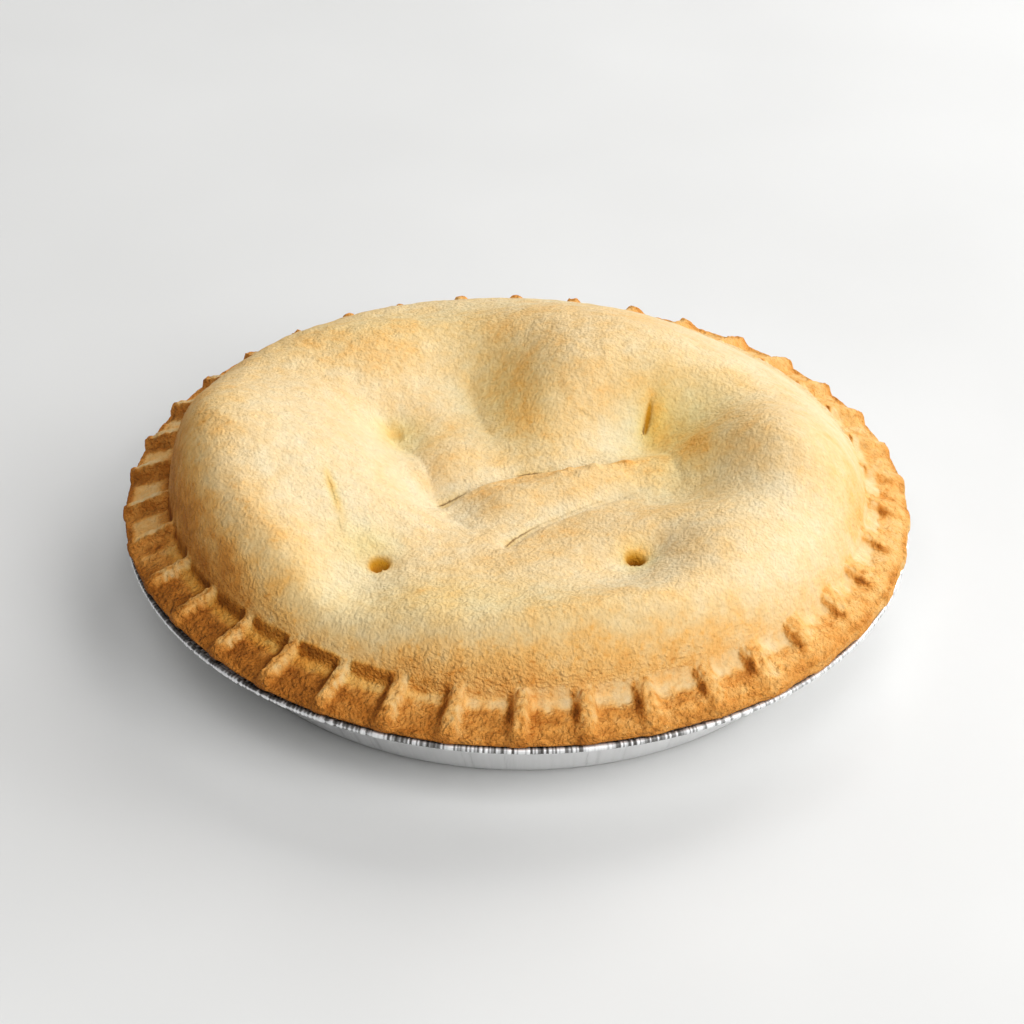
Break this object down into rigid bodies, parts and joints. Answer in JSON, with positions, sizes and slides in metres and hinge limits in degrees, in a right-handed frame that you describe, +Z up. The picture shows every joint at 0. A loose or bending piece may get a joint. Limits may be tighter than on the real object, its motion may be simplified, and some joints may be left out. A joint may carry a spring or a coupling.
{
  "type": "apple pie",
  "caption": "Closed round pie with a puffed, sunken blond lid, small steam vents and a crimped browned rim, in a shallow foil tin.",
  "frame": {"origin": "centre of the tin's flat base, on the surface that it stands on", "axes": "+Z up through the middle of the pie; -Y towards the side that faces the camera in the picture; +X to that view's right"},
  "size_m": [0.2272, 0.2273, 0.0645],
  "materials": {
    "baked_crust": "baked shortcrust pastry: matt, fine grained, blond on the lid and toasted brown on the rim",
    "tin_foil": "satin aluminium foil, crinkled along the rolled lip"
  },
  "bodies": {
    "root": {"pie": "baked_crust", "foil_tin": "tin_foil"}
  },
  "joints": []
}
